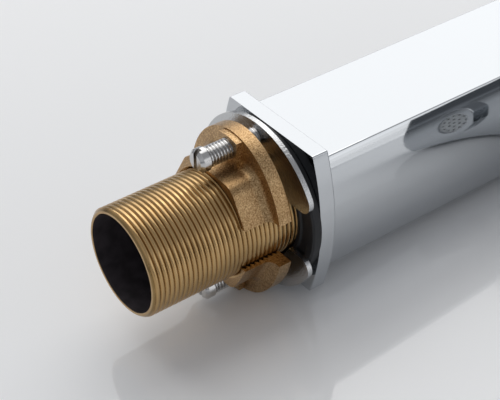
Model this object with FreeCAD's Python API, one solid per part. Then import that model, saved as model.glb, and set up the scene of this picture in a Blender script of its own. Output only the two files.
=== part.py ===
import FreeCAD, Part
import math
import os

V = FreeCAD.Vector

# A single-lever basin mixer tap. Millimetres. +Z runs up the column, the spout points to -Y.
# The origin is on the threaded shank's axis, at the underside of the metal foot.

# Column: two flat sides at +-X, two bowed faces at +-Y
column_half_width = 19.5
column_corner_depth = 16.4
face_bow = 4.2
column_top = 145.0
column_wall = 3.2
edge_round = 0.5
mouth_edge = 0.2

# Foot plate under the column, with a step out past it
foot_side_step = 4.0
foot_front_step = 2.1
foot_height = 5.3

# Threaded shank, M32 x 1.5, with a stepped-down spigot screwed into the column
shank_radius = 16.0
shank_length = 50.0
shank_wall = 1.6
shank_end_chamfer = 0.9
shank_shoulder = 1.5
spigot_step = 1.0
spigot_wall = 1.8
spigot_engaged = 11.5
spigot_end_room = 0.5

# Spout: a flat-sided slab with a bowed end, cored out behind the aerator
end_bow = 8.0
spout_height = 20.0
spout_reach = 108.0
spout_top_fall = 4.0
spout_floor = 3.5
spout_roof = 6.5
spout_side = 5.5
core_start = 22.0
core_end_wall = 4.0

# Water connections in the column's web: two M10 x 1 sockets, risers, the outlet and its channel
seat_floor = 3.5
inlet_x = 7.0
inlet_y = -3.0
inlet_radius = 5.0
inlet_depth = 9.0
inlet_roof = 1.5
riser_radius = 2.8
outlet_y = 6.5
outlet_radius = 3.4
waterway_radius = 4.5
channel_half_width = 2.8
channel_height = 7.0

# Base gasket, horseshoe washer and backnut, stacked down from the foot
gasket_inset = 0.1
gasket_height = 3.0
gasket_lip_height = 0.5
gasket_lip_width = 2.4
shank_clearance = 0.3
washer_inset = 0.3
washer_bore_room = 0.6
washer_thickness = 1.5
washer_gap_half = 8.0
washer_corner = 3.5
stack_clearance = 0.1
nut_standoff = 3.7
nut_flange = 4.0
nut_end_rim = 1.25
nut_front_rim = 0.7
nut_gap_half = 7.0
hub_height = 8.6
hub_wall = 1.6
hub_corner = 5.0
hub_foot_round = 2.5
pad_height = 2.0
pad_margin = 1.0
pad_inset = 0.4
nut_thread_room = 0.45
thread_fit = 0.05

# Two clamp screws, M6
screw_radius = 3.0
screw_length = 17.3
screw_point = 0.8
screw_head_radius = 3.5
screw_head_height = 3.0
screw_head_round = 0.9
screw_head_room = 1.2
screw_slot_width = 1.4
screw_slot_depth = 1.8

# Ceramic cartridge, 28 mm class
cartridge_radius = 14.0
cartridge_fit = 0.1
housing_wall = 1.4
housing_lip = 2.0
base_flange_height = 2.4
base_height = 6.2
port_step = 0.4
peg_x = 9.5
peg_y = -6.5
peg_radius = 1.2
peg_length = 2.6
peg_fit = 0.1
seal_step = 0.6
seal_width = 1.1
seal_height = 1.0
seal_proud = 0.3
seal_fit = 0.05
disc_thickness = 3.5
disc_fit = 0.3
disc_film = 0.03
disc_travel_room = 0.23
key_width = 2.6
key_depth = 1.3
key_fit = 0.2
cavity_rim = 1.2
cavity_depth = 1.8
closed_land = 0.8
carrier_thickness = 3.8
carrier_side_cut = 1.6
carrier_fit = 0.2
dog_inset = 2.6
dog_radius = 1.0
dog_length = 1.2
turner_fit = 0.1
turner_wall = 1.2
turner_deck = 3.6
turner_ring_cord = 1.5
ring_room = 0.05
pocket_head_room = 0.3
lip_head_room = 0.2
neck_radius = 8.5
neck_height = 7.0
neck_fit = 0.25
pivot_rise = 1.8
pin_radius = 1.25
pin_inset = 0.3
pin_fit = 0.05

# Stem: ball, pivot barrel and square tang
stem_square = 7.0
stem_cheek = 0.2
stem_slot_fit = 0.05
stem_slot_room = 0.3
stem_tang = 24.5
stem_barrel = 3.5
stem_tail_radius = 2.0
ball_radius = 2.5
ball_fit = 0.2
tilt_travel = 25.0

# Retaining nut, dome cap and its snap ring
ring_nut_radius = 16.0
ring_nut_height = 7.0
ring_nut_web = 2.0
ring_nut_hole_room = 0.8
ring_nut_flats = 22.0
ring_nut_head_room = 0.2
cap_skirt_drop = 2.4
cap_skirt_wall = 2.1
cap_overlap = 2.6
cap_flange_height = 1.5
dome_shoulder = 4.6
dome_mouth_room = 4.2
dome_wall = 1.2
cap_ring_cord = 1.2

# Lever
lever_gap = 1.0
lever_height = 18.5
lever_plate = 7.5
lever_tip_plate = 5.5
lever_reach = 80.0
lever_side_taper = 2.5
dome_gap = 0.5
heel_clearance = 0.8
boss_wall = 1.2
boss_dip = 0.5
tang_fit = 0.1
tang_end_room = 0.5

# Handle set screw, M5, and the index plug in its mouth
set_screw_radius = 2.5
set_screw_length = 8.0
set_screw_point = 1.3
set_screw_hex = 2.5
set_screw_fit = 0.05
plug_radius = 3.5
plug_head = 1.8
plug_stalk_radius = 2.3
plug_stalk = 2.4
plug_fit = 0.1
plug_below_plate = 1.0

# Aerator, M24 x 1
aerator_thread = 12.0
aerator_setback = 36.0
aerator_depth = 9.0
aerator_body = 7.0
aerator_wall = 2.2
aerator_collar_step = 1.0
aerator_collar_height = 3.5
aerator_flat_step = 0.2
aerator_lip = 1.0
throat_step = 1.3
throat_depth = 2.5
insert_fit = 0.1
jet_radius = 0.9
jet_pitch = 3.4
screen_thickness = 0.6
screen_room = 1.3
aerator_washer_bore_step = 1.0

# Radii, widths and places that follow from the sizes above
foot_half_width = column_half_width + foot_side_step
foot_corner_depth = column_corner_depth + foot_front_step
hub_front = column_corner_depth + face_bow
shank_bore = shank_radius - shank_wall
spigot_radius = shank_radius - spigot_step
spigot_bore = spigot_radius - spigot_wall
gasket_outer = foot_half_width - gasket_inset
hub_across_flats = 2 * (shank_radius + hub_wall)
screw_x = hub_across_flats / 2 + screw_head_room + screw_head_radius
nut_half_length = screw_x + screw_radius + thread_fit + nut_end_rim
nut_half_depth = hub_across_flats / math.sqrt(3) + nut_front_rim
washer_radius = nut_half_length - washer_inset
pad_half_depth = screw_radius + pad_margin
housing_bore = cartridge_radius - housing_wall
base_spigot_radius = housing_bore - cartridge_fit
port_radius = outlet_radius - port_step
seal_inner = riser_radius + seal_step
fixed_disc_radius = housing_bore - disc_fit
turner_radius = housing_bore - turner_fit
pocket_radius = turner_radius - turner_wall
stem_half_width = stem_square / 2 + stem_cheek
boss_radius = (stem_square / 2 + tang_fit) * math.sqrt(2) + boss_wall
dome_mouth_radius = boss_radius + dome_mouth_room
cap_flange_radius = ring_nut_radius + cap_overlap
dome_base_radius = cap_flange_radius - dome_shoulder
aerator_y = aerator_setback - spout_reach
aerator_bore = aerator_thread - aerator_wall
throat_radius = aerator_bore - throat_step
core_end = -aerator_y - aerator_thread - core_end_wall

# Levels above the foot: the cartridge hangs under the column's mouth
rest_tilt = tilt_travel / 2
skirt_bottom = column_top - cap_skirt_drop
ring_nut_bottom = skirt_bottom - ring_nut_head_room - ring_nut_height
cartridge_top = ring_nut_bottom
lip_bottom = cartridge_top - housing_lip
deck_top = lip_bottom - lip_head_room
pocket_top = deck_top - turner_deck
carrier_top = pocket_top - pocket_head_room
moving_top = carrier_top - carrier_thickness
moving_bottom = moving_top - disc_thickness
fixed_top = moving_bottom - disc_film
fixed_bottom = fixed_top - disc_thickness
base_top = fixed_bottom - seal_proud
seat_height = base_top - base_height
waterway_z = seat_height - seat_floor - waterway_radius
spout_bottom = waterway_z - waterway_radius - spout_floor
spout_top = spout_bottom + spout_height
channel_bottom = waterway_z - channel_height / 2
web_bottom = channel_bottom - inlet_roof - inlet_depth
pivot_z = deck_top + pivot_rise
ball_arm = pivot_z - moving_top - ball_radius - ball_fit
disc_rest_shift = ball_arm * math.sin(math.radians(rest_tilt))
moving_disc_radius = pocket_radius - disc_rest_shift - disc_travel_room
stem_slot_half_depth = (stem_square / 2 / math.cos(math.radians(rest_tilt))
                        + (neck_height - pivot_rise) * math.tan(math.radians(rest_tilt)) + stem_slot_room)
cap_flange_top = column_top + cap_flange_height
dome_radius = math.hypot(dome_base_radius, cap_flange_top - pivot_z)
boss_start = math.sqrt(dome_radius ** 2 - dome_mouth_radius ** 2) - boss_dip
lever_bottom = cap_flange_top + lever_gap
lever_top = lever_bottom + lever_height
set_screw_z = lever_top - lever_plate - plug_below_plate - plug_radius
tang_front = (stem_square / 2 / math.cos(math.radians(rest_tilt))
              + (set_screw_z - pivot_z + set_screw_point) * math.tan(math.radians(rest_tilt)))

# Levels below the foot
foot_top = foot_height
gasket_bottom = -gasket_height
washer_top = gasket_bottom - stack_clearance
washer_bottom = washer_top - washer_thickness
nut_top = washer_bottom - nut_standoff
flange_bottom = nut_top - nut_flange
hub_bottom = flange_bottom - hub_height


def cylinder(radius, height, x=0, y=0, z=0, axis=V(0, 0, 1)):
    return Part.makeCylinder(radius, height, V(x, y, z), axis)


def tube(outer, inner, height, z, x=0, y=0):
    return cylinder(outer, height, x, y, z).cut(cylinder(inner, height, x, y, z))


def block(x0, x1, y0, y1, z0, z1):
    return Part.makeBox(x1 - x0, y1 - y0, z1 - z0, V(x0, y0, z0))


def hexagon(across_flats, height, z, flat_angle=0.0):
    """A hexagonal bar whose flats face flat_angle and every 60 degrees from it."""
    corner = across_flats / 2 / math.cos(math.radians(30))
    points = []
    for i in range(7):
        a = math.radians(flat_angle + 30 + 60 * i)
        points.append(V(corner * math.cos(a), corner * math.sin(a), z))
    return Part.Face(Part.makePolygon(points)).extrude(V(0, 0, height))


def bowed_section(half_width, corner_depth, bow, z):
    """Flat sides at +-X, and faces at +-Y that bow outwards."""
    c = [V(half_width, -corner_depth, z), V(half_width, corner_depth, z),
         V(-half_width, corner_depth, z), V(-half_width, -corner_depth, z)]
    back = Part.Arc(c[1], V(0, corner_depth + bow, z), c[2]).toShape()
    front = Part.Arc(c[3], V(0, -corner_depth - bow, z), c[0]).toShape()
    sides = [Part.LineSegment(c[0], c[1]).toShape(), Part.LineSegment(c[2], c[3]).toShape()]
    return Part.Face(Part.Wire([sides[0], back, sides[1], front]))


def bowed_bar(half_width, corner_depth, bow, z, height):
    return bowed_section(half_width, corner_depth, bow, z).extrude(V(0, 0, height))


def bow_ended_slab(root_half_width, tip_half_width, reach, z, height):
    """A slab from the axis to -Y with a bowed far end."""
    corner = -(reach - end_bow)
    a = V(root_half_width, 0, z)
    b = V(tip_half_width, corner, z)
    c = V(-tip_half_width, corner, z)
    d = V(-root_half_width, 0, z)
    tip = Part.Arc(b, V(0, -reach, z), c).toShape()
    lines = [Part.LineSegment(p, q).toShape() for p, q in ((a, b), (c, d), (d, a))]
    return Part.Face(Part.Wire([lines[0], tip, lines[1], lines[2]])).extrude(V(0, 0, height))


def wedge_over(points, half_width):
    """A prism across X from a profile of (y, z) points."""
    loop = [V(-half_width, y, z) for y, z in points + points[:1]]
    return Part.Face(Part.makePolygon(loop)).extrude(V(2 * half_width, 0, 0))


def revolved(points, x=0, y=0):
    """A full turn about the vertical through (x, y) of a profile of (r, z) points."""
    loop = [V(x + r, y, z) for r, z in points + points[:1]]
    return Part.Face(Part.makePolygon(loop)).revolve(V(x, y, 0), V(0, 0, 1), 360)


def leaning(shape):
    """Lean a piece drawn upright forwards to the closed position, about the pivot pin."""
    leant = shape.copy()
    leant.rotate(V(0, 0, pivot_z), V(1, 0, 0), rest_tilt)
    return leant


def edges_where(shape, test):
    return [e for e in shape.Edges if test(e)]


def is_vertical(edge):
    a, b = edge.Vertexes[0].Point, edge.Vertexes[-1].Point
    return abs(a.x - b.x) < 1e-6 and abs(a.y - b.y) < 1e-6 and abs(a.z - b.z) > 1e-6


def ports(radius_in, radius_out, z, height):
    """Bars through the two inlet ports and the outlet port."""
    bars = [cylinder(radius_in, height, s * inlet_x, inlet_y, z) for s in (-1, 1)]
    bars.append(cylinder(radius_out, height, 0, outlet_y, z))
    return bars


def port_rings(inner, outer, z, height):
    rings = [tube(outer, inner, height, z, s * inlet_x, inlet_y) for s in (-1, 1)]
    rings.append(tube(outer, inner, height, z, 0, outlet_y))
    return rings


def make_body():
    column = bowed_bar(column_half_width, column_corner_depth, face_bow, foot_top, column_top - foot_top)
    column = column.makeFillet(edge_round, edges_where(column, is_vertical))
    spout = bow_ended_slab(column_half_width, column_half_width, spout_reach, spout_bottom, spout_height)
    spout = spout.cut(wedge_over([(-column_corner_depth, spout_top),
                                  (-spout_reach - 1, spout_top - spout_top_fall),
                                  (-spout_reach - 1, spout_top + 1),
                                  (-column_corner_depth, spout_top + 1)], column_half_width + 1))
    tip_edges = edges_where(spout, lambda e: e.BoundBox.YMax < -column_corner_depth - 1)
    spout = spout.makeFillet(edge_round, tip_edges)
    body = column.fuse(spout).removeSplitter()

    socket_top = foot_top + spigot_engaged + spigot_end_room
    hollow = bowed_bar(column_half_width - column_wall, column_corner_depth - column_wall, face_bow,
                       socket_top, web_bottom - socket_top)
    body = body.cut(hollow)
    body = body.cut(cylinder(spigot_radius + thread_fit, socket_top - foot_top, z=foot_top))
    for side in (-1, 1):
        body = body.cut(cylinder(inlet_radius, inlet_depth, side * inlet_x, inlet_y, web_bottom))
        body = body.cut(cylinder(riser_radius, seat_height - web_bottom, side * inlet_x, inlet_y, web_bottom))
        body = body.cut(cylinder(peg_radius + peg_fit, peg_length + peg_fit, side * peg_x, peg_y,
                                 seat_height - peg_length - peg_fit))

    body = body.cut(cylinder(outlet_radius, seat_height - waterway_z, 0, outlet_y, waterway_z))
    body = body.cut(block(-channel_half_width, channel_half_width, -column_corner_depth,
                          outlet_y + outlet_radius, channel_bottom, channel_bottom + channel_height))
    body = body.cut(cylinder(waterway_radius, -aerator_y - column_corner_depth + 2, 0,
                             2 - column_corner_depth, waterway_z, V(0, -1, 0)))
    core_half = column_half_width - spout_side
    body = body.cut(block(-core_half, core_half, -core_end, -core_start,
                          spout_bottom + spout_floor, spout_top - spout_roof))
    body = body.cut(cylinder(aerator_thread, aerator_depth, 0, aerator_y, spout_bottom))
    body = body.cut(cylinder(throat_radius, throat_depth, 0, aerator_y, spout_bottom + aerator_depth))

    body = body.cut(cylinder(cartridge_radius + cartridge_fit, column_top - seat_height, z=seat_height))
    thread_start = cartridge_top - edge_round
    return body.cut(cylinder(ring_nut_radius, column_top - thread_start, z=thread_start))


def make_foot_plate():
    plate = bowed_bar(foot_half_width, foot_corner_depth, face_bow, 0, foot_height)
    rim = edges_where(plate, lambda e: is_vertical(e) or e.BoundBox.ZMin > foot_height / 2)
    plate = plate.makeFillet(edge_round, rim)
    plate = plate.cut(cylinder(spigot_radius + thread_fit, foot_height))
    return plate.cut(cylinder(shank_radius + cartridge_fit, shank_shoulder))


def make_shank():
    spigot_top = foot_top + spigot_engaged
    profile = [(shank_bore, -shank_length), (shank_radius - shank_end_chamfer, -shank_length),
               (shank_radius, -shank_length + shank_end_chamfer), (shank_radius, shank_shoulder),
               (spigot_radius, shank_shoulder), (spigot_radius, spigot_top), (spigot_bore, spigot_top),
               (spigot_bore, shank_shoulder), (shank_bore, shank_shoulder - (shank_bore - spigot_bore))]
    return revolved(profile)


def make_base_gasket():
    inner = shank_radius + shank_clearance
    lip_top = gasket_bottom + gasket_lip_height
    outer_lip = gasket_outer - gasket_lip_width
    inner_lip = inner + gasket_lip_width / 2
    profile = [(inner, 0), (inner, gasket_bottom), (inner_lip, gasket_bottom),
               (inner_lip + gasket_lip_height, lip_top), (outer_lip - gasket_lip_height, lip_top),
               (outer_lip, gasket_bottom), (gasket_outer - gasket_lip_height, gasket_bottom),
               (gasket_outer, lip_top), (gasket_outer, -mouth_edge), (gasket_outer - mouth_edge, 0)]
    return revolved(profile)


def make_clamp_washer():
    washer = tube(washer_radius, shank_radius + washer_bore_room, washer_thickness, washer_bottom)
    gap = block(-washer_gap_half, washer_gap_half, -washer_radius - 1, 0, washer_bottom, washer_top)
    washer = washer.cut(gap)
    corners = edges_where(washer, lambda e: is_vertical(e) and abs(abs(e.BoundBox.XMin) - washer_gap_half) < 0.01
                          and e.BoundBox.YMin < -shank_radius - washer_corner)
    return washer.makeFillet(washer_corner, corners)


def nut_oval(inset, z, height):
    curve = Part.Ellipse(V(0, 0, z), nut_half_length - inset, nut_half_depth - inset)
    return Part.Face(Part.Wire([curve.toShape()])).extrude(V(0, 0, height))


def make_clamp_nut():
    height = nut_flange + hub_height
    blank = cylinder(nut_half_length + hub_foot_round, nut_flange, z=flange_bottom)
    hub = hexagon(hub_across_flats, height, hub_bottom)
    hub = hub.makeFillet(hub_corner, edges_where(hub, is_vertical))
    nut = blank.fuse(hub)
    foot = edges_where(nut, lambda e: abs(e.BoundBox.ZMin - flange_bottom) < 0.01 and e.BoundBox.ZLength < 0.01
                       and e.BoundBox.XLength < hub_across_flats)
    nut = nut.makeFillet(hub_foot_round, foot)
    nut = nut.common(nut_oval(0, hub_bottom, height))
    pads = nut_oval(pad_inset, flange_bottom - pad_height, pad_height)
    pads = pads.common(block(-nut_half_length, nut_half_length, -pad_half_depth, pad_half_depth,
                             flange_bottom - pad_height, flange_bottom))
    nut = nut.fuse(pads)
    nut = nut.cut(cylinder(shank_radius + nut_thread_room, height, z=hub_bottom))
    nut = nut.cut(block(-nut_gap_half, nut_gap_half, -nut_half_depth - 1, 0, hub_bottom, nut_top))
    for side in (-1, 1):
        nut = nut.cut(cylinder(screw_radius + thread_fit, nut_flange + pad_height, side * screw_x, 0,
                               flange_bottom - pad_height))
    return nut


def make_clamp_screw(side):
    tip = washer_bottom - thread_fit
    neck = tip - screw_length
    head = neck - screw_head_height
    profile = [(0, head), (screw_head_radius - screw_head_round, head),
               (screw_head_radius, head + screw_head_round), (screw_head_radius, neck), (screw_radius, neck),
               (screw_radius, tip - screw_point), (screw_radius - screw_point, tip), (0, tip)]
    screw = revolved(profile, side * screw_x, 0)
    slot = block(side * screw_x - screw_head_radius, side * screw_x + screw_head_radius,
                 -screw_slot_width / 2, screw_slot_width / 2, head, head + screw_slot_depth)
    return screw.cut(slot)


def make_cartridge_base():
    base = cylinder(cartridge_radius, base_flange_height, z=seat_height)
    base = base.fuse(cylinder(base_spigot_radius, base_height, z=seat_height))
    for bar in ports(riser_radius, port_radius, seat_height, base_height):
        base = base.cut(bar)
    outer = seal_inner + seal_width + seal_fit
    for level in (seat_height, base_top - seal_height):
        for ring in port_rings(seal_inner - seal_fit, outer, level, seal_height):
            base = base.cut(ring)
    for side in (-1, 1):
        base = base.fuse(cylinder(peg_radius, peg_length, side * peg_x, peg_y, seat_height - peg_length))
    return base


def make_port_seals():
    return Part.makeCompound(port_rings(seal_inner, seal_inner + seal_width, seat_height,
                                        seal_height - seal_fit))


def make_disc_seals():
    return Part.makeCompound(port_rings(seal_inner, seal_inner + seal_width, base_top - seal_height + seal_fit,
                                        seal_height + seal_proud - seal_fit))


def make_fixed_disc():
    disc = cylinder(fixed_disc_radius, disc_thickness, z=fixed_bottom)
    for bar in ports(riser_radius, port_radius, fixed_bottom, disc_thickness):
        disc = disc.cut(bar)
    half = key_width / 2 + key_fit
    for side in (-1, 1):
        x = sorted((side * (housing_bore - key_depth - key_fit), side * (housing_bore + 1)))
        disc = disc.cut(block(x[0], x[1], -half, half, fixed_bottom, fixed_top))
    return disc


def make_cartridge_housing():
    bottom = seat_height + base_flange_height
    housing = tube(cartridge_radius, housing_bore, cartridge_top - bottom, bottom)
    for side in (-1, 1):
        x = sorted((side * (housing_bore - key_depth), side * (housing_bore + 0.5)))
        housing = housing.fuse(block(x[0], x[1], -key_width / 2, key_width / 2, fixed_bottom, fixed_top))
    return housing.fuse(tube(housing_bore + 0.5, neck_radius + neck_fit, housing_lip, lip_bottom))


def dog_at(side):
    """Where a driving dog sits, inside the moving disc's rim."""
    return disc_rest_shift + side * (moving_disc_radius - dog_inset)


def make_moving_disc():
    disc = cylinder(moving_disc_radius, disc_thickness, 0, disc_rest_shift, moving_bottom)
    cavity_radius = moving_disc_radius - cavity_rim
    cavity = cylinder(cavity_radius, cavity_depth, 0, disc_rest_shift, moving_bottom)
    keep = block(-cavity_radius, cavity_radius, inlet_y + riser_radius + closed_land,
                 disc_rest_shift + cavity_radius, moving_bottom, moving_bottom + cavity_depth)
    disc = disc.cut(cavity.common(keep))
    for side in (-1, 1):
        disc = disc.cut(cylinder(dog_radius + thread_fit, dog_length + thread_fit, 0,
                                 dog_at(side), moving_top - dog_length - thread_fit))
    return disc


def make_disc_carrier():
    carrier = cylinder(moving_disc_radius, carrier_thickness, 0, disc_rest_shift, moving_top)
    half = moving_disc_radius - carrier_side_cut
    carrier = carrier.common(block(-half, half, -cartridge_radius, cartridge_radius, moving_top, carrier_top))
    carrier = carrier.cut(cylinder(ball_radius + ball_fit, carrier_thickness, 0, disc_rest_shift, moving_top))
    for side in (-1, 1):
        carrier = carrier.fuse(cylinder(dog_radius, dog_length, 0, dog_at(side), moving_top - dog_length))
    return carrier


def make_turner():
    skirt_start = fixed_top + turner_fit
    turner = cylinder(turner_radius, deck_top - skirt_start, z=skirt_start)
    turner = turner.fuse(cylinder(neck_radius, neck_height, z=deck_top))
    turner = turner.cut(cylinder(pocket_radius, moving_top + turner_fit - skirt_start, z=skirt_start))
    guide = cylinder(pocket_radius, pocket_top - moving_top, z=moving_top)
    half = moving_disc_radius - carrier_side_cut + carrier_fit
    turner = turner.cut(guide.common(block(-half, half, -pocket_radius, pocket_radius, moving_top, pocket_top)))
    turner = turner.cut(block(-stem_half_width - stem_slot_fit, stem_half_width + stem_slot_fit,
                              -stem_slot_half_depth, stem_slot_half_depth, pocket_top, deck_top + neck_height))
    turner = turner.cut(cylinder(pin_radius, 2 * neck_radius, -neck_radius, 0, pivot_z, V(1, 0, 0)))
    groove_height = turner_ring_cord + 2 * ring_room
    return turner.cut(tube(turner_radius + 1, turner_radius - turner_ring_cord, groove_height,
                           (pocket_top + deck_top - groove_height) / 2))


def cord_ring(outer, cord, z):
    """A friction ring that reaches out to a radius: its cord has eight flats."""
    centre = outer - cord / 2
    corner = cord / 2 / math.cos(math.radians(22.5))
    turns = [math.radians(22.5 + 45 * i) for i in range(8)]
    return revolved([(centre + corner * math.cos(a), z + corner * math.sin(a)) for a in turns])


def make_turner_ring():
    return cord_ring(housing_bore - ring_room, turner_ring_cord, (pocket_top + deck_top) / 2)


def make_pivot_pin():
    half = neck_radius - pin_inset
    return cylinder(pin_radius, 2 * half, -half, 0, pivot_z, V(1, 0, 0))


def make_stem():
    half = stem_square / 2
    tang = block(-half, half, -half, half, pivot_z, pivot_z + stem_tang)
    barrel = cylinder(stem_barrel, 2 * stem_half_width, -stem_half_width, 0, pivot_z, V(1, 0, 0))
    tail = cylinder(stem_tail_radius, ball_arm, z=pivot_z - ball_arm)
    ball = Part.makeSphere(ball_radius, V(0, 0, pivot_z - ball_arm))
    stem = tang.fuse([barrel, tail, ball])
    stem = stem.cut(cylinder(pin_radius + pin_fit, 2 * stem_half_width, -stem_half_width, 0, pivot_z, V(1, 0, 0)))
    return leaning(stem)


def make_retaining_nut():
    ring = cylinder(ring_nut_radius - thread_fit, ring_nut_height, z=cartridge_top)
    ring = ring.cut(cylinder(neck_radius + ring_nut_hole_room, ring_nut_height, z=cartridge_top))
    return ring.cut(hexagon(ring_nut_flats, ring_nut_height - ring_nut_web, cartridge_top + ring_nut_web))


def make_dome_cap():
    skirt_outer = ring_nut_radius - thread_fit
    skirt_inner = skirt_outer - cap_skirt_wall
    inner_radius = dome_radius - dome_wall
    skin = [V(skirt_outer, 0, skirt_bottom), V(skirt_outer, 0, column_top),
            V(cap_flange_radius, 0, column_top), V(cap_flange_radius, 0, cap_flange_top - mouth_edge),
            V(cap_flange_radius - mouth_edge, 0, cap_flange_top), V(dome_base_radius, 0, cap_flange_top)]

    def on_sphere(radius, r):
        return V(r, 0, pivot_z + math.sqrt(radius * radius - r * r))

    lining = [on_sphere(inner_radius, skirt_inner - 2.0), V(skirt_inner, 0, column_top - 1.0),
              V(skirt_inner, 0, skirt_bottom)]
    mouth = [on_sphere(dome_radius, dome_mouth_radius), on_sphere(inner_radius, dome_mouth_radius)]
    middle = (dome_base_radius + dome_mouth_radius) / 2
    inner_middle = (skirt_inner - 2.0 + dome_mouth_radius) / 2
    edges = [Part.LineSegment(a, b).toShape() for a, b in zip(skin, skin[1:])]
    edges.append(Part.Arc(skin[-1], on_sphere(dome_radius, middle), mouth[0]).toShape())
    edges.append(Part.LineSegment(mouth[0], mouth[1]).toShape())
    edges.append(Part.Arc(mouth[1], on_sphere(inner_radius, inner_middle), lining[0]).toShape())
    edges += [Part.LineSegment(a, b).toShape() for a, b in zip(lining, lining[1:])]
    edges.append(Part.LineSegment(lining[-1], skin[0]).toShape())
    cap = Part.Face(Part.Wire(edges)).revolve(V(0, 0, 0), V(0, 0, 1), 360)
    groove_z = column_top - cap_skirt_drop / 2
    groove = tube(skirt_outer + 1, skirt_outer - cap_ring_cord, cap_ring_cord + 2 * ring_room,
                  groove_z - cap_ring_cord / 2 - ring_room)
    return cap.cut(groove)


def make_cap_ring():
    return cord_ring(ring_nut_radius, cap_ring_cord, column_top - cap_skirt_drop / 2)


def ahead(radius, near, far):
    """A bar along the set screw's axis, between two distances in front of the column's axis."""
    return cylinder(radius, far - near, 0, -near, set_screw_z, V(0, -1, 0))


def make_lever():
    hub = bowed_bar(column_half_width, column_corner_depth, face_bow, lever_bottom, lever_height)
    hub = hub.makeFillet(edge_round, edges_where(hub, is_vertical))
    plate = bow_ended_slab(column_half_width, column_half_width - lever_side_taper, lever_reach, lever_top - lever_plate,
                           lever_plate)
    lever = hub.fuse(plate)
    root = -hub_front
    lever = lever.cut(wedge_over([(root, lever_top - lever_plate), (root, lever_top - lever_plate - 1),
                                  (-lever_reach - 1, lever_top - lever_plate - 1),
                                  (-lever_reach - 1, lever_top - lever_tip_plate)], column_half_width + 1))

    turn = math.radians(tilt_travel)
    heel = cap_flange_top - pivot_z + heel_clearance

    def heel_z(y):
        return pivot_z + (heel + y * math.sin(turn)) / math.cos(turn)

    start = ((lever_bottom - pivot_z) * math.cos(turn) - heel) / math.sin(turn)
    far = 2 * column_half_width
    lever = lever.cut(wedge_over([(start, lever_bottom), (far, heel_z(far)), (far, lever_bottom - 1),
                                  (start, lever_bottom - 1)], column_half_width + 1))
    lever = lever.cut(Part.makeSphere(dome_radius + dome_gap, V(0, 0, pivot_z)))
    crown = dome_radius + dome_gap + 1
    lever = lever.fuse(leaning(cylinder(boss_radius, crown - boss_start, z=pivot_z + boss_start)))
    half = stem_square / 2 + tang_fit
    socket = block(-half, half, -half, half, pivot_z, pivot_z + stem_tang + tang_end_room)
    lever = lever.cut(leaning(socket))
    lever = lever.cut(ahead(set_screw_radius + set_screw_fit, tang_front, hub_front))
    return lever.cut(ahead(plug_radius + plug_fit, hub_front - plug_head, hub_front))


def make_lever_screw():
    start = V(0, -tang_front - set_screw_fit, set_screw_z)
    point = Part.makeCone(set_screw_point, set_screw_radius, set_screw_radius - set_screw_point, start, V(0, -1, 0))
    shoulder = -start.y + set_screw_radius - set_screw_point
    end = -start.y + set_screw_length
    screw = point.fuse(ahead(set_screw_radius, shoulder, end))
    key = hexagon(set_screw_hex, set_screw_hex, 0)
    key.rotate(V(0, 0, 0), V(1, 0, 0), 90)
    key.translate(V(0, -end + set_screw_hex, start.z))
    return screw.cut(key)


def make_index_plug():
    head = ahead(plug_radius, hub_front - plug_head, hub_front)
    head = head.makeFillet(edge_round, edges_where(head, lambda e: e.BoundBox.YMax < -hub_front + 0.01))
    return head.fuse(ahead(plug_stalk_radius, hub_front - plug_head - plug_stalk, hub_front - plug_head))


def make_aerator_housing():
    bottom = spout_bottom - aerator_collar_height
    collar = aerator_thread + aerator_collar_step
    flat = aerator_thread + aerator_flat_step
    housing = cylinder(collar, aerator_collar_height, 0, aerator_y, bottom)
    housing = housing.makeFillet(edge_round, edges_where(housing, lambda e: e.BoundBox.ZMax < bottom + 0.01))
    for side in (-1, 1):
        y = sorted((aerator_y + side * flat, aerator_y + side * (collar + 1)))
        housing = housing.cut(block(-collar, collar, y[0], y[1], bottom,
                                    spout_bottom - edge_round))
    housing = housing.fuse(cylinder(aerator_thread - thread_fit, aerator_body, 0, aerator_y, spout_bottom))
    housing = housing.cut(cylinder(aerator_bore, aerator_collar_height + aerator_body, 0, aerator_y,
                                   bottom + aerator_lip))
    return housing.cut(cylinder(aerator_bore - aerator_lip, aerator_lip, 0, aerator_y, bottom))


def screen_bottom():
    return spout_bottom + aerator_body - screen_room - screen_thickness


def make_aerator_insert():
    bottom = spout_bottom - aerator_collar_height + aerator_lip
    insert_height = screen_bottom() - bottom
    insert = cylinder(aerator_bore - insert_fit, insert_height, 0, aerator_y, bottom)
    for ring in range(3):
        for step in range(max(1, 6 * ring)):
            a = math.radians(60 * step / max(1, ring))
            insert = insert.cut(cylinder(jet_radius, insert_height, ring * jet_pitch * math.cos(a),
                                         aerator_y + ring * jet_pitch * math.sin(a), bottom))
    return insert


def make_aerator_screen():
    return cylinder(aerator_bore - insert_fit, screen_thickness, 0, aerator_y, screen_bottom())


def make_aerator_washer():
    bottom = spout_bottom + aerator_body + insert_fit
    return tube(aerator_thread - 2 * insert_fit, aerator_bore - aerator_washer_bore_step,
                spout_bottom + aerator_depth - bottom, bottom, 0, aerator_y)


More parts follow.
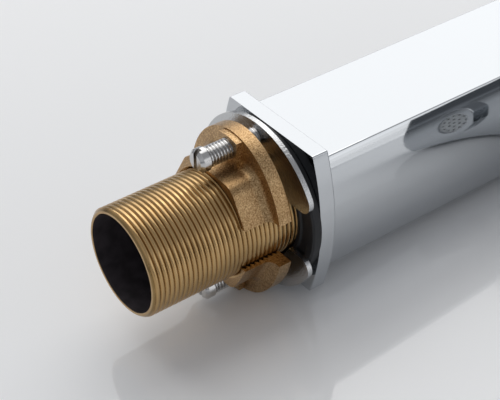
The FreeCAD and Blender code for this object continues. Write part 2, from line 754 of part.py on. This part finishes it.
NODES = {
    "body": make_body,
    "foot_plate": make_foot_plate,
    "shank": make_shank,
    "base_gasket": make_base_gasket,
    "clamp_washer": make_clamp_washer,
    "clamp_nut": make_clamp_nut,
    "clamp_screw_left": lambda: make_clamp_screw(-1),
    "clamp_screw_right": lambda: make_clamp_screw(1),
    "cartridge_base": make_cartridge_base,
    "port_seals": make_port_seals,
    "disc_seals": make_disc_seals,
    "fixed_disc": make_fixed_disc,
    "cartridge_housing": make_cartridge_housing,
    "moving_disc": make_moving_disc,
    "disc_carrier": make_disc_carrier,
    "turner": make_turner,
    "turner_ring": make_turner_ring,
    "pivot_pin": make_pivot_pin,
    "stem": make_stem,
    "retaining_nut": make_retaining_nut,
    "dome_cap": make_dome_cap,
    "cap_ring": make_cap_ring,
    "lever": make_lever,
    "lever_screw": make_lever_screw,
    "index_plug": make_index_plug,
    "aerator_housing": make_aerator_housing,
    "aerator_insert": make_aerator_insert,
    "aerator_screen": make_aerator_screen,
    "aerator_washer": make_aerator_washer,
}

os.makedirs("parts", exist_ok=True)
for node, make in NODES.items():
    shape = make()
    shape.exportStep("parts/" + node + ".step")
    print(node, "valid", shape.isValid(), "solids", len(shape.Solids), "volume", round(shape.Volume, 1))
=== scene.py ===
# %% [markdown]
# A basin mixer tap, dressed for its picture
#
# The solid model of the tap already exists: every part has its real size and its place. This file gives
# it its looks. It loads the solid parts, sets up a small photo studio round them, makes a finish for each
# material, and replaces the few parts whose screw threads are too fine for the solid model. All lengths are
# in metres, as Blender wants them, and the helper mm() lets us write millimetres.

# %% Load the solid parts
import math

import bmesh
import bpy
from mathutils import Matrix, Vector


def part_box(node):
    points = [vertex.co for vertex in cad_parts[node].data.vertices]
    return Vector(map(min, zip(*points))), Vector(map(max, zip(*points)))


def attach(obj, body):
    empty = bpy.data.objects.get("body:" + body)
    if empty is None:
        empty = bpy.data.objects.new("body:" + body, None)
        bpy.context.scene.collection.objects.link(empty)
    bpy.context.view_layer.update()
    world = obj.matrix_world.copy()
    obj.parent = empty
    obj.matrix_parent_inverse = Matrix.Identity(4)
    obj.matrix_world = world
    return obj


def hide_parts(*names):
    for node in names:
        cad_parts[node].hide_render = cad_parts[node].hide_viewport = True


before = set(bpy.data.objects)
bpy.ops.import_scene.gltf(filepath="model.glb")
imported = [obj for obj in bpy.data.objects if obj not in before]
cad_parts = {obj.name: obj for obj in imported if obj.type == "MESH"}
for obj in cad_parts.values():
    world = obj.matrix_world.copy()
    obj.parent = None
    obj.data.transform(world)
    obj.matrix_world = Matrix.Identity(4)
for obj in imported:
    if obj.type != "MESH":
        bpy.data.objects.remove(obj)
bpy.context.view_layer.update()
print("parts loaded:", len(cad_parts))


def mm(value):
    return value / 1000


# %% [markdown]
# The camera
#
# The tap lies on its side on a table, and the camera looks along its shank from the mounting end. The place
# and the lens were found by matching the shank's mouth, the foot plate's corners and the column's edges with
# the photograph. A long lens keeps the parallel edges of the column nearly parallel.

# %% Camera
picture_width = 500
focal_length_in_pixels = 1378.63
camera_place = Vector((mm(-237.357), mm(-245.739), mm(-188.974)))
view_right = Vector((0.009567, -0.600898, 0.799268))
view_down = Vector((0.791444, -0.483981, -0.373335))
view_ahead = Vector((0.611167, 0.636148, 0.470947))
camera_data = bpy.data.cameras.new("camera")
camera_data.sensor_width = 36
camera_data.lens = focal_length_in_pixels * camera_data.sensor_width / picture_width
camera_data.clip_start = 0.01
camera = bpy.data.objects.new("camera", camera_data)
bpy.context.collection.objects.link(camera)
camera_axes = Matrix((view_right, -view_down, -view_ahead)).transposed().to_4x4()
camera.matrix_world = Matrix.Translation(camera_place) @ camera_axes
bpy.context.scene.camera = camera
bpy.context.scene.view_settings.view_transform = "Standard"
print("lens:", round(camera_data.lens, 1), "mm")

# %% [markdown]
# Colours and nodes
#
# Colours are easiest to read as the hex codes of a paint program, but Blender works with linear light, so one
# function turns one into the other. A second one adds a node to a material: it takes the node's settings, for
# each input either a value or the output that feeds it, and the stops of a colour ramp. A third one starts
# each finish, because all of them need a shader and a place to read their patterns from.

# %% Helpers for colours and nodes
def linear(code):
    parts = [int(code[i:i + 2], 16) / 255 for i in (1, 3, 5)]
    return tuple(p / 12.92 if p <= 0.04045 else ((p + 0.055) / 1.055) ** 2.4 for p in parts) + (1.0,)


def add(tree, kind, inputs=None, stops=(), **settings):
    """Adds a node. A ramp's stops are (position, hex code) pairs."""
    node = tree.nodes.new(kind)
    for name, value in settings.items():
        setattr(node, name, value)
    for name, value in (inputs or {}).items():
        if isinstance(value, bpy.types.NodeSocket):
            tree.links.new(value, node.inputs[name])
        else:
            node.inputs[name].default_value = value
    if stops:
        elements = node.color_ramp.elements
        while len(elements) < len(stops):
            elements.new(0.5)
        for element, (position, code) in zip(elements, stops):
            element.position = position
            element.color = linear(code)
    return node


def new_finish(name, colour, roughness, metallic=0.0):
    """A material with a Principled shader, and the place on the object that its patterns read."""
    material = bpy.data.materials.new(name)
    material.use_nodes = True
    material.diffuse_color = linear(colour)
    tree = material.node_tree
    shader = tree.nodes["Principled BSDF"]
    shader.inputs["Base Color"].default_value = linear(colour)
    shader.inputs["Roughness"].default_value = roughness
    shader.inputs["Metallic"].default_value = metallic
    place = add(tree, "ShaderNodeTexCoord").outputs["Object"]
    return material, tree, shader, place


print("white is", [round(c, 2) for c in linear("#FFFFFF")])

# %% [markdown]
# The table
#
# The tap rests on a glossy pale table. It touches it with the rim of the backnut at one end and with the
# side of the column at the other, so the table is a plane through those two lines. A faint mirror image shows
# in it, as in lacquered board: a white paint under a clear coat, smooth enough for a blur of a few degrees.
# The table shows from above only, so the tap can also be looked at from below.

# %% Table
near_rim = Vector((mm(26.65), 0, mm(-10)))
far_side = Vector((mm(19.55), 0, mm(166)))
along = (far_side - near_rim).normalized()
up = Vector((along.z, 0, -along.x))
up = -up if up.x > 0 else up
middle = (near_rim + far_side) / 2
board_half_width = 1.6
board = bmesh.new()
bmesh.ops.create_grid(board, x_segments=1, y_segments=1, size=board_half_width)
board.transform(Matrix.Translation(middle) @ Matrix((along, up.cross(along), up)).transposed().to_4x4())
table_mesh = bpy.data.meshes.new("table")
board.to_mesh(table_mesh)
board.free()
table = bpy.data.objects.new("table", table_mesh)
bpy.context.collection.objects.link(table)

lacquer, tree, shader, _ = new_finish("lacquered_board", "#F7F8F9", 0.05)
backside = add(tree, "ShaderNodeNewGeometry").outputs["Backfacing"]
clear = add(tree, "ShaderNodeBsdfTransparent").outputs["BSDF"]
one_sided = add(tree, "ShaderNodeMixShader", {0: backside, 1: shader.outputs["BSDF"], 2: clear})
tree.links.new(one_sided.outputs["Shader"], tree.nodes["Material Output"].inputs["Surface"])
table_mesh.materials.append(lacquer)
print("the table leans by", round(math.degrees(math.asin(abs(along.x))), 1), "degrees")

# %% [markdown]
# The light
#
# Polished chrome is only as good as what it mirrors, so the studio is a light tent: a world that is pale
# overhead, with a narrow darker band where the table ends, which draws the thin dark line along the column's
# edges. The main light is a large soft box above and behind the tap, with a brighter middle. It makes the
# upper flat side of the column white. On the spout's side stand a card and a thin strip just above the
# table, which the bowed face of the column mirrors as a soft fall from light to dark.

# %% World and lamps
world = bpy.data.worlds.new("studio")
world.use_nodes = True
bpy.context.scene.world = world
tree = world.node_tree
way = add(tree, "ShaderNodeTexCoord").outputs["Generated"]
rise = add(tree, "ShaderNodeVectorMath", {0: way, 1: up}, operation="DOT_PRODUCT")
rise_range = {"Value": rise.outputs["Value"], "From Min": -1.0, "From Max": 1.0}
share = add(tree, "ShaderNodeMapRange", rise_range)
walls = add(tree, "ShaderNodeValToRGB", {"Fac": share.outputs["Result"]}, stops=[
    (0.0, "#C4C6CA"), (0.485, "#B9BBC0"), (0.5, "#5C5F63"), (0.525, "#5C5F63"),
    (0.555, "#B2B4B8"), (0.67, "#B2B4B8"), (0.82, "#98999C"), (1.0, "#98999C")])
tree.links.new(walls.outputs["Color"], tree.nodes["Background"].inputs["Color"])


def soft_box(name, place, target, width, height, power, tint="#FFFFFF"):
    """A flat lamp that faces the target. Its width runs along the table, the same way as the column."""
    lamp = bpy.data.lights.new(name, "AREA")
    lamp.shape = "RECTANGLE"
    lamp.size = width
    lamp.size_y = height
    lamp.energy = power
    lamp.color = linear(tint)[:3]
    holder = bpy.data.objects.new(name, lamp)
    bpy.context.collection.objects.link(holder)
    way = (Vector(place) - Vector(target)).normalized()
    across = (along - way * along.dot(way)).normalized()
    axes = Matrix((across, way.cross(across), way)).transposed().to_4x4()
    holder.matrix_world = Matrix.Translation(place) @ axes


soft_box("overhead_box", (-1.25, 0.90, 0.56), (0, 0, 0.05), 2.7, 2.0, 19.8, "#FFFEFC")
soft_box("bright_middle", (-1.16, 0.74, 0.42), (0, 0, 0.05), 0.9, 0.36, 1.4, "#FFFEFC")
soft_box("front_card", (-0.29, -0.88, 0.49), (0, 0, 0.03), 1.0, 0.48, 0.62)
soft_box("front_strip", (-0.022, -0.875, 0.62), (0, 0, 0.03), 0.9, 0.054, 0.137)

# %% [markdown]
# Chrome
#
# The column, foot plate, spout, cap and lever are brass castings, polished and then plated with nickel and a
# very thin layer of chromium. That is a mirror with a slightly cool tint. It is never quite flat: polishing
# leaves long soft waves of a few hundredths of a millimetre, and cloths leave hairlines. Both are far too
# small for the mesh, so they are bumps in the material.

# %% Chrome plate
chrome, tree, shader, place = new_finish("chrome_plate_on_brass", "#C9CCCF", 0.035, 1.0)
waves = add(tree, "ShaderNodeTexNoise", {"Vector": place, "Scale": 1 / mm(14), "Detail": 1.0})
hairlines = add(tree, "ShaderNodeMapping", {"Vector": place, "Scale": (1, 1, 0.06)})
scratches = add(tree, "ShaderNodeTexNoise",
                {"Vector": hairlines.outputs["Vector"], "Scale": 1 / mm(0.5), "Detail": 2.0})
both = add(tree, "ShaderNodeMath", {0: scratches.outputs["Fac"], 1: 0.01, 2: waves.outputs["Fac"]},
           operation="MULTIPLY_ADD")
bump = add(tree, "ShaderNodeBump", {"Height": both.outputs["Value"], "Distance": mm(0.03), "Strength": 0.5})
tree.links.new(bump.outputs["Normal"], shader.inputs["Normal"])
sheen = add(tree, "ShaderNodeMapRange", {"Value": scratches.outputs["Fac"], "To Min": 0.02, "To Max": 0.06})
tree.links.new(sheen.outputs["Result"], shader.inputs["Roughness"])
print(chrome.name)

# %% [markdown]
# Turned brass
#
# The shank is turned from bar. Fine turning marks run round it. The colour follows the distance from the
# axis: bright on the ridges of the thread, darker and browner towards their roots, which is painted shade in
# the grooves. The bore is nearly black, and it gives back almost no light.

# %% Turned brass and the dull bore
brass, tree, shader, place = new_finish("turned_brass", "#C9A771", 0.24, 1.0)
around = add(tree, "ShaderNodeMapping", {"Vector": place, "Scale": (0.03, 0.03, 1)})
marks = add(tree, "ShaderNodeTexNoise",
            {"Vector": around.outputs["Vector"], "Scale": 1 / mm(0.25), "Detail": 2.0})
patches = add(tree, "ShaderNodeTexNoise", {"Vector": place, "Scale": 1 / mm(9), "Detail": 3.0})
across = add(tree, "ShaderNodeVectorMath", {0: place, 1: (1, 1, 0)}, operation="MULTIPLY")
radius = add(tree, "ShaderNodeVectorMath", {0: across.outputs["Vector"]}, operation="LENGTH")
groove_range = {"Value": radius.outputs["Value"], "From Min": mm(15), "From Max": mm(16)}
depth = add(tree, "ShaderNodeMapRange", groove_range)
# Darker and browner towards the roots of the thread: painted shade in the grooves.
painted_groove_shade = add(tree, "ShaderNodeValToRGB", {"Fac": depth.outputs["Result"]}, stops=[
    (0.1, "#C5A474"), (0.4, "#9A8158"), (0.6, "#B89665"), (0.85, "#CFAA76"), (0.97, "#CFAD7B")])
mottle = add(tree, "ShaderNodeValToRGB", {"Fac": patches.outputs["Fac"]},
             stops=[(0.3, "#E2E0DC"), (0.7, "#FFFFFF")])
tone = add(tree, "ShaderNodeMixRGB", {"Fac": 1.0, "Color1": painted_groove_shade.outputs["Color"],
                                      "Color2": mottle.outputs["Color"]}, blend_type="MULTIPLY")
tree.links.new(tone.outputs["Color"], shader.inputs["Base Color"])
bump = add(tree, "ShaderNodeBump", {"Height": marks.outputs["Fac"], "Distance": mm(0.02), "Strength": 0.6})
tree.links.new(bump.outputs["Normal"], shader.inputs["Normal"])
rough = add(tree, "ShaderNodeMapRange", {"Value": marks.outputs["Fac"], "To Min": 0.18, "To Max": 0.32})
tree.links.new(rough.outputs["Result"], shader.inputs["Roughness"])

dull_bore, tree, shader, place = new_finish("dull_dark_bore", "#393437", 0.5)
bore_clouds = add(tree, "ShaderNodeTexNoise", {"Vector": place, "Scale": 1 / mm(3), "Detail": 3.0})
tone = add(tree, "ShaderNodeValToRGB", {"Fac": bore_clouds.outputs["Fac"]},
           stops=[(0.35, "#302B2E"), (0.65, "#433D41")])
tree.links.new(tone.outputs["Color"], shader.inputs["Base Color"])
print(brass.name, dull_bore.name)

# %% [markdown]
# Sand-cast brass
#
# The backnut is poured into a mould of sand and keeps its grain, about 0.4 mm, with small pits. Its colour
# follows the grain, from dark brown on the low grains to pale gold on the high ones: partly the cast's
# mottled tone, partly painted shade in the pits and painted glints on the high grains. Only its edges and
# high grains catch the light.

# %% Sand-cast brass
cast, tree, shader, place = new_finish("sand_cast_brass", "#B08C5C", 0.34, 1.0)
grain = add(tree, "ShaderNodeTexNoise",
            {"Vector": place, "Scale": 1 / mm(0.38), "Detail": 3.0, "Roughness": 0.65})
pits = add(tree, "ShaderNodeTexVoronoi", {"Vector": place, "Scale": 1 / mm(0.8)})
stain = add(tree, "ShaderNodeTexNoise", {"Vector": place, "Scale": 1 / mm(7), "Detail": 4.0})
skin = add(tree, "ShaderNodeMath", {0: stain.outputs["Fac"], 1: 0.2, 2: grain.outputs["Fac"]},
           operation="MULTIPLY_ADD")
# The ramp paints the low grains dark brown and the high grains pale gold: the cast's mottled tone, with
# painted shade in the pits and painted glints on the high grains.
tone = add(tree, "ShaderNodeValToRGB", {"Fac": skin.outputs["Value"]},
           stops=[(0.42, "#8A6C49"), (0.6, "#B08E64"), (0.8, "#E6C698")])
tree.links.new(tone.outputs["Color"], shader.inputs["Base Color"])
height = add(tree, "ShaderNodeMath", {0: pits.outputs["Distance"], 1: 0.35, 2: grain.outputs["Fac"]},
             operation="MULTIPLY_ADD")
bump = add(tree, "ShaderNodeBump", {"Height": height.outputs["Value"], "Distance": mm(0.13), "Strength": 0.7})
tree.links.new(bump.outputs["Normal"], shader.inputs["Normal"])
rough = add(tree, "ShaderNodeMapRange", {"Value": grain.outputs["Fac"], "To Min": 0.2, "To Max": 0.4})
tree.links.new(rough.outputs["Result"], shader.inputs["Roughness"])
print(cast.name)

# %% [markdown]
# Steel
#
# The horseshoe washer is stamped from stainless sheet and tumbled, so it is bright with a soft blur. The
# clamp screws are plated with zinc, which is bright and a little grainy. The aerator's screen is woven from
# steel wire about 0.15 mm thick, one wire every 0.45 mm: two waves at right angles draw the weave. The wave
# texture draws 3.18 bands in one unit, so the wires in a metre are divided by that.

# %% Stainless, zinc and woven wire
stainless, tree, shader, place = new_finish("tumbled_stainless_sheet", "#C9CACB", 0.17, 1.0)
tumble = add(tree, "ShaderNodeTexNoise", {"Vector": place, "Scale": 1 / mm(0.5), "Detail": 3.0})
bump = add(tree, "ShaderNodeBump", {"Height": tumble.outputs["Fac"], "Distance": mm(0.14), "Strength": 0.8})
tree.links.new(bump.outputs["Normal"], shader.inputs["Normal"])
rough = add(tree, "ShaderNodeMapRange", {"Value": tumble.outputs["Fac"], "To Min": 0.12, "To Max": 0.26})
tree.links.new(rough.outputs["Result"], shader.inputs["Roughness"])

zinc, tree, shader, place = new_finish("bright_zinc_on_steel", "#D3D2D1", 0.19, 1.0)
spangle = add(tree, "ShaderNodeTexVoronoi", {"Vector": place, "Scale": 1 / mm(0.5)})
grains = spangle.outputs["Distance"]
rough = add(tree, "ShaderNodeMapRange", {"Value": grains, "To Min": 0.12, "To Max": 0.24})
tree.links.new(rough.outputs["Result"], shader.inputs["Roughness"])
bump = add(tree, "ShaderNodeBump", {"Height": grains, "Distance": mm(0.01), "Strength": 0.5})
tree.links.new(bump.outputs["Normal"], shader.inputs["Normal"])

wire, tree, shader, place = new_finish("woven_steel_wire", "#A9ABAE", 0.3, 1.0)
wires_in_a_metre = 1 / mm(0.45)
bands_in_a_unit = 3.18
wires = wires_in_a_metre / bands_in_a_unit
warp = add(tree, "ShaderNodeTexWave", {"Vector": place, "Scale": wires}, bands_direction="X")
weft = add(tree, "ShaderNodeTexWave", {"Vector": place, "Scale": wires}, bands_direction="Y")
weave = add(tree, "ShaderNodeMath", {0: warp.outputs["Fac"], 1: weft.outputs["Fac"]}, operation="MAXIMUM")
tone = add(tree, "ShaderNodeValToRGB", {"Fac": weave.outputs["Value"]},
           stops=[(0.45, "#1C1D1F"), (0.8, "#B5B7BA")])
tree.links.new(tone.outputs["Color"], shader.inputs["Base Color"])
bump = add(tree, "ShaderNodeBump", {"Height": weave.outputs["Value"], "Distance": mm(0.15), "Strength": 1.0})
tree.links.new(bump.outputs["Normal"], shader.inputs["Normal"])
print(stainless.name, zinc.name, wire.name)

# %% [markdown]
# Rubber, plastics and ceramic
#
# The base gasket and the rings are black moulded rubber, nearly matte with a fine grain from the mould. The
# cartridge is glass-filled plastic with faint flow clouds. Its two discs are lapped alumina, white and
# smooth. The index plug is one plastic plug with a red and a blue half, red on the side of the hot water.

# %% Rubber, plastics and ceramic
rubber, tree, shader, place = new_finish("moulded_black_rubber", "#151619", 0.55)
skin = add(tree, "ShaderNodeTexNoise", {"Vector": place, "Scale": 1 / mm(0.35), "Detail": 4.0})
bloom = add(tree, "ShaderNodeTexNoise", {"Vector": place, "Scale": 1 / mm(6), "Detail": 2.0})
tone = add(tree, "ShaderNodeValToRGB", {"Fac": bloom.outputs["Fac"]},
           stops=[(0.3, "#101114"), (0.7, "#1C1D21")])
tree.links.new(tone.outputs["Color"], shader.inputs["Base Color"])
bump = add(tree, "ShaderNodeBump", {"Height": skin.outputs["Fac"], "Distance": mm(0.05), "Strength": 0.5})
tree.links.new(bump.outputs["Normal"], shader.inputs["Normal"])


def moulded(name, low, high, cloud, roughness):
    """Moulded plastic or fired ceramic: two close tones in soft clouds, with a fine skin."""
    material, tree, shader, place = new_finish(name, high, roughness)
    clouds = add(tree, "ShaderNodeTexNoise", {"Vector": place, "Scale": 1 / cloud, "Detail": 3.0})
    tone = add(tree, "ShaderNodeValToRGB", {"Fac": clouds.outputs["Fac"]}, stops=[(0.35, low), (0.65, high)])
    tree.links.new(tone.outputs["Color"], shader.inputs["Base Color"])
    skin = add(tree, "ShaderNodeTexNoise", {"Vector": place, "Scale": 1 / mm(0.3), "Detail": 2.0})
    bump = add(tree, "ShaderNodeBump", {"Height": skin.outputs["Fac"], "Distance": mm(0.01), "Strength": 0.5})
    tree.links.new(bump.outputs["Normal"], shader.inputs["Normal"])
    return material


cartridge_plastic = moulded("glass_filled_plastic", "#D5D7D6", "#DFE1E0", mm(5), 0.42)
alumina = moulded("lapped_alumina", "#E9E7E1", "#F0EFEA", mm(8), 0.16)
aerator_plastic = moulded("acetal_white", "#D8DADB", "#E2E4E5", mm(4), 0.35)

index, tree, shader, place = new_finish("two_colour_index_plastic", "#B3262B", 0.28)
across = add(tree, "ShaderNodeSeparateXYZ", {"Vector": place}).outputs["X"]
cold_side = add(tree, "ShaderNodeMath", {0: across, 1: 0.0}, operation="GREATER_THAN")
tone = add(tree, "ShaderNodeValToRGB", {"Fac": cold_side.outputs["Value"]},
           stops=[(0.0, "#B3262B"), (1.0, "#2450A8")])
tree.links.new(tone.outputs["Color"], shader.inputs["Base Color"])
print(rubber.name, cartridge_plastic.name, alumina.name, aerator_plastic.name, index.name)

# %% [markdown]
# Finishes on the solid parts
#
# Each solid part names the slot of its material, so one table from slot to finish dresses them all.

# %% Dress the solid parts
finish_of_slot = {
    "chrome_plate": chrome, "shank_brass": brass, "cast_brass": cast, "stainless_steel": stainless,
    "zinc_steel": zinc, "black_rubber": rubber, "cartridge_plastic": cartridge_plastic,
    "white_ceramic": alumina, "index_plastic": index, "mesh_steel": wire, "aerator_plastic": aerator_plastic,
}
for name, part in sorted(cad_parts.items()):
    for slot in part.material_slots:
        print(name, "had", slot.material.name)
        key = slot.material.name.split(".")[0]
        slot.material = finish_of_slot[key]

# %% [markdown]
# Screw threads
#
# A screw thread is one ridge wound round a rod. The way to it is short: draw the profile of the ridge as a
# line of points up the side of the rod, then spin that line once round the axis while it climbs by one pitch.
# After a full turn each ridge meets the next one, the doubles are merged, and the ends are cut flat. The spin
# runs counter-clockwise as it climbs, which is a right-hand thread. A real thread's end has a chamfer, so the
# points that reach past a cone are drawn in to it.

# %% Thread helpers
def wind_thread(work, pitch, profile, bottom, top, steps, start):
    """Winds a ridge from bottom to top. The profile is (radius, share of the pitch) pairs for one pitch, and
    a new pitch begins at the height called start, so two threads with the same start lie on one helix."""
    lowest = start + (math.floor((bottom - start) / pitch) - 2) * pitch
    turns = math.ceil((top - lowest) / pitch) + 1
    line = []
    for turn in range(turns):
        for radius, share in profile:
            line.append(work.verts.new((radius, 0, lowest + (turn + share) * pitch)))
    line.append(work.verts.new((profile[0][0], 0, lowest + (turns + profile[0][1]) * pitch)))
    edges = [work.edges.new(pair) for pair in zip(line, line[1:])]
    bmesh.ops.spin(work, geom=line + edges, cent=(0, 0, 0), axis=(0, 0, 1), angle=2 * math.pi,
                   dvec=(0, 0, pitch / steps), steps=steps, use_merge=False, use_duplicate=False)
    bmesh.ops.remove_doubles(work, verts=work.verts, dist=mm(0.002))
    for level, side in ((bottom, -1), (top, 1)):
        everything = work.verts[:] + work.edges[:] + work.faces[:]
        bmesh.ops.bisect_plane(work, geom=everything, dist=1e-8, plane_co=(0, 0, level),
                               plane_no=(0, 0, side), clear_outer=True)


def chamfer_end(work, end_radius, end_height):
    """Draws the points that reach past a cone of 45 degrees in to it. The cone starts at the end's radius."""
    for v in work.verts:
        reach = math.hypot(v.co.x, v.co.y)
        limit = end_radius + abs(v.co.z - end_height)
        if reach > limit:
            v.co.x *= limit / reach
            v.co.y *= limit / reach


print("thread helpers:", wind_thread.__name__, chamfer_end.__name__)

# %% [markdown]
# From a mesh to a finished piece
#
# The open ends are filled, the points that lie on each other are merged, and the faces are turned outwards.
# Edges sharper than a few tens of degrees stay sharp and the rest is shaded smooth. Every piece rides on a
# body of the mechanism, and a piece that stands for solid parts hides them.

# %% Piece helpers
def close_flat(work, place, normal):
    """Fills the open edges that lie in one plane. A loop inside another one stays a hole."""
    place, normal = Vector(place), Vector(normal)
    rim = [e for e in work.edges if e.is_boundary
           and all(abs((v.co - place).dot(normal)) < mm(0.001) for v in e.verts)]
    bmesh.ops.triangle_fill(work, edges=rim, use_beauty=True, normal=normal)


def make_piece(name, work, material, body, *nodes, smooth=35):
    """Turns the mesh under work into a finished object that rides on a body. A copy of a solid part brings
    stored normals along, which no longer fit once its points are merged, so they are dropped."""
    bmesh.ops.remove_doubles(work, verts=work.verts, dist=mm(0.001))
    bmesh.ops.recalc_face_normals(work, faces=work.faces)
    mesh = bpy.data.meshes.new(name)
    work.to_mesh(mesh)
    work.free()
    if mesh.has_custom_normals:
        mesh.attributes.remove(mesh.attributes["custom_normal"])
    mesh.materials.append(material)
    mesh.shade_smooth()
    mesh.set_sharp_from_angle(angle=math.radians(smooth))
    piece = bpy.data.objects.new(name, mesh)
    bpy.context.collection.objects.link(piece)
    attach(piece, body)
    if nodes:
        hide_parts(*nodes)
    print(name, len(mesh.polygons), "faces")
    return piece


def lathe(work, profile, steps):
    """Spins a line of (radius, height) points round the axis."""
    line = [work.verts.new((radius, 0, height)) for radius, height in profile]
    edges = [work.edges.new(pair) for pair in zip(line, line[1:])]
    bmesh.ops.spin(work, geom=line + edges, cent=(0, 0, 0), axis=(0, 0, 1), angle=2 * math.pi,
                   steps=steps, use_merge=True, use_duplicate=False)


print("piece helpers:", close_flat.__name__, make_piece.__name__, lathe.__name__)

# %% [markdown]
# The threaded shank
#
# The shank is an M32 x 1.5 tube. Its outside is the thread, its inside is turned, and its mouth has a small
# chamfer that the first ridge runs out on. The thread is wound longer than the shank and cut, its mouth gets
# the chamfer, and a lathed liner closes the tube. The ridge's profile is given as the depth under the crest
# in mm at each share of the pitch: flat crests and shallow, rounded grooves. The bore up to its shoulder gets
# the duller finish.

# %% Threaded shank
low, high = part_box("shank")
shank_radius = high.x
mouth = low.z
round_steps = 128
pitch = mm(1.5)
thread_end = mm(-1.4)
shoulder = mm(1.5)
bore_radius = mm(14.4)
bore_end = mm(0.3)
neck_bore = mm(13.2)
neck_radius = mm(15)
edge_break = mm(0.1)
crest = shank_radius - mm(0.01)
depth_at_share = [(0, 0.0), (0, 0.11), (0, 0.23), (0.01, 0.35), (0.08, 0.45), (0.26, 0.54), (0.44, 0.62),
                  (0.48, 0.69), (0.34, 0.79), (0.1, 0.91)]
ridge = [(crest - mm(depth), share) for depth, share in depth_at_share]
work = bmesh.new()
wind_thread(work, pitch, ridge, mouth, thread_end, round_steps, mouth)
chamfer_end(work, shank_radius - mm(0.9), mouth)
liner = [(shank_radius - mm(1.2), mouth), (bore_radius + edge_break, mouth),
         (bore_radius, mouth + edge_break), (bore_radius, bore_end), (neck_bore, shoulder),
         (neck_bore, high.z), (neck_radius, high.z), (neck_radius, shoulder),
         (shank_radius, shoulder), (shank_radius, thread_end)]
lathe(work, liner, round_steps)
close_flat(work, (0, 0, mouth), (0, 0, -1))
close_flat(work, (0, 0, thread_end), (0, 0, 1))
threaded = make_piece("shank_threaded", work, brass, "body", "shank", smooth=40)
threaded.data.materials.append(dull_bore)
just_past = mm(0.05)
for face in threaded.data.polygons:
    corners = [threaded.data.vertices[i].co for i in face.vertices]
    if all(math.hypot(c.x, c.y) < bore_radius + just_past and c.z < shoulder + just_past for c in corners):
        face.material_index = 1

# %% [markdown]
# The backnut
#
# The nut's bore is plain in the solid model. Here a copy of the nut gets a slightly wider bore, because its
# coarse teeth fit loosely on the shank, and a dark saw-toothed gap shows in the slot. Only the points of the
# bore move. Those at the slot's flat sides slide along them, so the sides stay flat.

# %% Backnut with a wider bore
low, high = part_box("clamp_nut")
plain_bore_limit = shank_radius + mm(0.5)
bore = shank_radius + mm(0.8)
half_gap = mm(7.02)
work = bmesh.new()
work.from_mesh(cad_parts["clamp_nut"].data)
bmesh.ops.remove_doubles(work, verts=work.verts, dist=mm(0.001))
in_bore = [v for v in work.verts if math.hypot(v.co.x, v.co.y) < plain_bore_limit]
for v in in_bore:
    if abs(v.co.x) < half_gap and v.co.y < 0:
        v.co.y = -math.sqrt(bore ** 2 - v.co.x ** 2)
    else:
        v.co.xy *= bore / math.hypot(v.co.x, v.co.y)
make_piece("backnut_cast", work, cast, "nut", "clamp_nut", smooth=30)
print("points moved to the wider bore:", len(in_bore))

# %% [markdown]
# The backnut's thread
#
# The teeth are wound on the same helix as the shank's ridges, half a pitch on, so each tooth stands in a
# groove, and stays in one while the nut runs down. The ring of teeth is opened to the same C shape as the
# nut. Its ends and its tips keep a hair's breadth from the nut's faces and the shank's crests, so no two
# surfaces lie in one place, and its outside lies in the metal.

# %% Backnut thread
hair = mm(0.05)
bottom = low.z + hair
top = high.z - hair
tip = shank_radius - hair
root = bore + mm(0.02)
back = bore + mm(0.35)
teeth = [(root, 0.13), (root, 0.2), (tip, 0.6), (tip, 0.7)]
work = bmesh.new()
wind_thread(work, pitch, teeth, bottom, top, round_steps, mouth)
lathe(work, [(back, bottom), (back, top)], round_steps)
close_flat(work, (0, 0, bottom), (0, 0, -1))
close_flat(work, (0, 0, top), (0, 0, 1))
for side in (-1, 1):
    everything = work.verts[:] + work.edges[:] + work.faces[:]
    bmesh.ops.bisect_plane(work, geom=everything, dist=1e-8, plane_co=(side * half_gap, 0, 0),
                           plane_no=(1, 0, 0))
centres = [(f, f.calc_center_median()) for f in work.faces]
in_gap = [f for f, centre in centres if abs(centre.x) < half_gap and centre.y < 0]
bmesh.ops.delete(work, geom=in_gap, context="FACES")
for side in (-1, 1):
    close_flat(work, (side * half_gap, 0, 0), (-side, 0, 0))
make_piece("backnut_thread", work, brass, "nut")

# %% [markdown]
# Clamp screws
#
# Two M6 screws press the washer up. The solid screw has the right head and slot already, so a copy of it is
# cut at the neck, and a wound thread with a chamfered point takes the place of its plain rod.

# %% Clamp screws
screw_radius = mm(3)
root_radius = screw_radius - mm(0.7)
point_radius = screw_radius - mm(0.9)
screw_pitch = mm(1)
screw_steps = 48
head_height = mm(3)
screw_ridge = [(screw_radius, 0.0), (screw_radius, 0.22), (root_radius, 0.5), (root_radius, 0.7)]


def make_screw(side):
    node = "clamp_screw_" + side
    low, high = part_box(node)
    centre = (low.x + high.x) / 2
    neck = low.z + head_height
    cut = neck + hair
    work = bmesh.new()
    work.from_mesh(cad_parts[node].data)
    bmesh.ops.remove_doubles(work, verts=work.verts, dist=mm(0.001))
    bmesh.ops.bisect_plane(work, geom=work.verts[:] + work.edges[:] + work.faces[:], dist=1e-8,
                           plane_co=(0, 0, cut), plane_no=(0, 0, 1), clear_outer=True)
    bmesh.ops.translate(work, verts=work.verts, vec=(-centre, 0, 0))
    rod = bmesh.new()
    wind_thread(rod, screw_pitch, screw_ridge, cut, high.z, screw_steps, neck)
    chamfer_end(rod, point_radius, high.z)
    close_flat(rod, (0, 0, high.z), (0, 0, 1))
    rod_mesh = bpy.data.meshes.new("rod")
    rod.to_mesh(rod_mesh)
    rod.free()
    work.from_mesh(rod_mesh)
    bpy.data.meshes.remove(rod_mesh)
    close_flat(work, (0, 0, cut), (0, 0, 1))
    bmesh.ops.translate(work, verts=work.verts, vec=(centre, 0, 0))
    make_piece("screw_threaded_" + side, work, zinc, "screw_" + side, node, smooth=40)


for side in ("left", "right"):
    make_screw(side)
